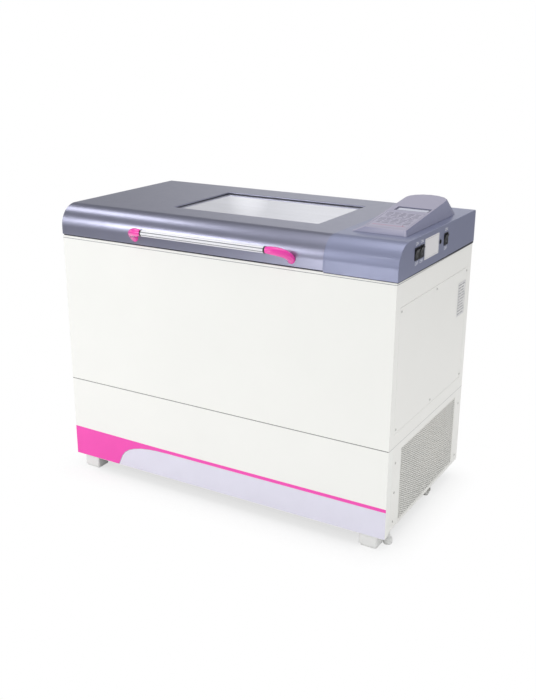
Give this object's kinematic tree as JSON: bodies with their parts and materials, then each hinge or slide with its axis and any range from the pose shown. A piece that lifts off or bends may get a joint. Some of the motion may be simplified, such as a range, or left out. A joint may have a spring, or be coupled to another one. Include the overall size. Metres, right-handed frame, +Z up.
{
  "type": "incubated shaker",
  "caption": "Floor-standing chest-type refrigerated incubated shaker with hinged windowed lid, control console, orbital platform, levelling feet and rear casters.",
  "frame": {"origin": "on the floor, under the middle of the machine's bounding box", "axes": "+X to the right seen from the front, +Y to the back, +Z up"},
  "size_m": [1.312, 0.7567, 1.0843],
  "materials": {
    "panel_white": "semi-gloss powder coat",
    "plinth_white": "satin",
    "foot_white": "satin",
    "lid_grey": "metallic blue-grey satin",
    "housing_grey": "metallic blue-grey satin",
    "console_grey": "satin",
    "keypad": "printed film",
    "display": "clear window over a pale display",
    "lid_liner": "satin",
    "liner_steel": "brushed",
    "frame_steel": "black paint",
    "zinc": "zinc plated",
    "aluminium": "ribbed satin",
    "handle_pink": "gloss",
    "black_plastic": "satin",
    "black_enamel": "gloss enamel",
    "grey_plastic": "satin",
    "pane": "clear double pane",
    "foam": "cut foam",
    "rubber": "matte",
    "copper": "satin"
  },
  "bodies": {
    "cabinet": {"base_frame": "frame_steel", "front_foot_left": "foot_white", "front_foot_right": "foot_white", "front_panel": "panel_white", "plinth_panel": "plinth_white", "left_side_panel": "panel_white", "right_side_panel": "panel_white", "service_cover": "panel_white", "grille_panel": "panel_white", "vent_grille": "panel_white", "back_panel": "panel_white", "power_inlet": "black_plastic", "top_deck": "plinth_white", "chamber_liner": "liner_steel", "insulation_jacket": "foam", "hinge_base": "zinc", "control_housing": "housing_grey", "console_housing": "console_grey", "display_lens": "display", "keypad_plate": "keypad", "drive_base": "frame_steel", "drive_motor": "grey_plastic", "drive_belt": "rubber", "air_duct_cover": "liner_steel", "circulation_motor": "grey_plastic", "evaporator_coil": "aluminium", "compressor": "black_enamel", "condenser_coil": "copper"},
    "lid": {"lid_shell": "lid_grey", "lid_liner": "lid_liner", "window_pane": "pane", "lid_gasket": "rubber", "handle_bar": "aluminium", "handle_bracket_left": "handle_pink", "handle_bracket_right": "handle_pink", "hinge_leaf": "zinc"},
    "strut_cylinder_left": {"strut_cylinder_left": "black_enamel"},
    "strut_cylinder_right": {"strut_cylinder_right": "black_enamel"},
    "strut_rod_left": {"strut_rod_left": "zinc"},
    "strut_rod_right": {"strut_rod_right": "zinc"},
    "rocker_power": {"rocker_power": "black_plastic"},
    "rocker_lamp": {"rocker_lamp": "black_plastic"},
    "rocker_aux": {"rocker_aux": "black_plastic"},
    "reset_button": {"reset_button": "black_plastic"},
    "key_1": {"key_1": "keypad"},
    "key_2": {"key_2": "keypad"},
    "key_3": {"key_3": "keypad"},
    "key_4": {"key_4": "keypad"},
    "caster_fork_left": {"caster_fork_left": "zinc"},
    "caster_fork_right": {"caster_fork_right": "zinc"},
    "caster_wheel_left": {"caster_wheel_left": "rubber"},
    "caster_wheel_right": {"caster_wheel_right": "rubber"},
    "main_crank": {"main_crank": "zinc"},
    "idler_crank_left": {"idler_crank_left": "zinc"},
    "idler_crank_right": {"idler_crank_right": "zinc"},
    "platform": {"platform": "aluminium", "clamp_tray": "liner_steel"},
    "motor_pulley": {"motor_pulley": "zinc"},
    "circulation_fan": {"circulation_fan": "grey_plastic"},
    "condenser_fan": {"condenser_fan": "grey_plastic"}
  },
  "joints": [
    {"name": "lid_hinge", "type": "hinge", "parent": "cabinet", "child": "lid", "pos_m": [0, 0.369, 0.91], "axis": [-1, 0, 0], "range_deg": [0, 70]},
    {"name": "strut_cylinder_left_turn", "type": "hinge", "parent": "cabinet", "child": "strut_cylinder_left", "pos_m": [-0.5848, 0.25511, 0.65421], "axis": [-1, 0, 0], "range_deg": [0, 35]},
    {"name": "strut_cylinder_right_turn", "type": "hinge", "parent": "cabinet", "child": "strut_cylinder_right", "pos_m": [0.345, 0.25511, 0.65421], "axis": [-1, 0, 0], "range_deg": [0, 35]},
    {"name": "strut_rod_left_turn", "type": "hinge", "parent": "lid", "child": "strut_rod_left", "pos_m": [-0.5848, 0.08904, 0.90511], "axis": [-1, 0, 0], "range_deg": [-35, 0]},
    {"name": "strut_rod_right_turn", "type": "hinge", "parent": "lid", "child": "strut_rod_right", "pos_m": [0.345, 0.08904, 0.90511], "axis": [-1, 0, 0], "range_deg": [-35, 0]},
    {"name": "rocker_power_tilt", "type": "hinge", "parent": "cabinet", "child": "rocker_power", "pos_m": [0.649, -0.1845, 0.9735], "axis": [0, -1, 0], "range_deg": [0, 16]},
    {"name": "rocker_lamp_tilt", "type": "hinge", "parent": "cabinet", "child": "rocker_lamp", "pos_m": [0.649, -0.1455, 0.9735], "axis": [0, -1, 0], "range_deg": [0, 16]},
    {"name": "rocker_aux_tilt", "type": "hinge", "parent": "cabinet", "child": "rocker_aux", "pos_m": [0.649, 0.0665, 0.9735], "axis": [0, -1, 0], "range_deg": [0, 16]},
    {"name": "reset_button_press", "type": "slide", "parent": "cabinet", "child": "reset_button", "axis": [-1, 0, 0], "range_m": [0, 0.002], "stiffness_N_per_m": 300},
    {"name": "key_1_press", "type": "slide", "parent": "cabinet", "child": "key_1", "axis": [0, 0.1182, -0.993], "range_m": [0, 0.001], "stiffness_N_per_m": 400},
    {"name": "key_2_press", "type": "slide", "parent": "cabinet", "child": "key_2", "axis": [0, 0.1182, -0.993], "range_m": [0, 0.001], "stiffness_N_per_m": 400},
    {"name": "key_3_press", "type": "slide", "parent": "cabinet", "child": "key_3", "axis": [0, 0.1182, -0.993], "range_m": [0, 0.001], "stiffness_N_per_m": 400},
    {"name": "key_4_press", "type": "slide", "parent": "cabinet", "child": "key_4", "axis": [0, 0.1182, -0.993], "range_m": [0, 0.001], "stiffness_N_per_m": 400},
    {"name": "caster_left_swivel", "type": "hinge", "parent": "cabinet", "child": "caster_fork_left", "pos_m": [-0.617, 0.123, 0.0567], "axis": [0, 0, 1], "continuous": true},
    {"name": "caster_right_swivel", "type": "hinge", "parent": "cabinet", "child": "caster_fork_right", "pos_m": [0.617, 0.123, 0.0567], "axis": [0, 0, 1], "continuous": true},
    {"name": "caster_left_roll", "type": "hinge", "parent": "caster_fork_left", "child": "caster_wheel_left", "pos_m": [-0.617, 0.135, 0.025], "axis": [1, 0, 0], "continuous": true},
    {"name": "caster_right_roll", "type": "hinge", "parent": "caster_fork_right", "child": "caster_wheel_right", "pos_m": [0.617, 0.135, 0.025], "axis": [1, 0, 0], "continuous": true},
    {"name": "main_crank_spin", "type": "hinge", "parent": "cabinet", "child": "main_crank", "pos_m": [-0.14, 0.0086, 0.4185], "axis": [0, 0, 1], "continuous": true},
    {"name": "idler_left_spin", "type": "hinge", "parent": "cabinet", "child": "idler_crank_left", "pos_m": [-0.4, 0.0086, 0.4185], "axis": [0, 0, 1], "continuous": true},
    {"name": "idler_right_spin", "type": "hinge", "parent": "cabinet", "child": "idler_crank_right", "pos_m": [0.12, 0.0086, 0.4185], "axis": [0, 0, 1], "continuous": true},
    {"name": "platform_orbit", "type": "hinge", "parent": "main_crank", "child": "platform", "pos_m": [-0.127, 0.0086, 0.4645], "axis": [0, 0, 1], "continuous": true},
    {"name": "motor_pulley_spin", "type": "hinge", "parent": "cabinet", "child": "motor_pulley", "pos_m": [0.1, 0.0086, 0.271], "axis": [0, 0, 1], "continuous": true},
    {"name": "circulation_fan_spin", "type": "hinge", "parent": "cabinet", "child": "circulation_fan", "pos_m": [0.3105, -0.082, 0.77], "axis": [1, 0, 0], "continuous": true},
    {"name": "condenser_fan_spin", "type": "hinge", "parent": "cabinet", "child": "condenser_fan", "pos_m": [0.573, 0.168, 0.2053], "axis": [1, 0, 0], "continuous": true}
  ],
  "couplings": [
    {"joint": "strut_cylinder_left_turn", "follows": "lid_hinge", "ratio": 0.5},
    {"joint": "strut_cylinder_right_turn", "follows": "lid_hinge", "ratio": 0.5},
    {"joint": "strut_rod_left_turn", "follows": "lid_hinge", "ratio": -0.5},
    {"joint": "strut_rod_right_turn", "follows": "lid_hinge", "ratio": -0.5},
    {"joint": "idler_left_spin", "follows": "main_crank_spin", "ratio": 1},
    {"joint": "idler_right_spin", "follows": "main_crank_spin", "ratio": 1},
    {"joint": "platform_orbit", "follows": "main_crank_spin", "ratio": -1},
    {"joint": "motor_pulley_spin", "follows": "main_crank_spin", "ratio": 4}
  ]
}
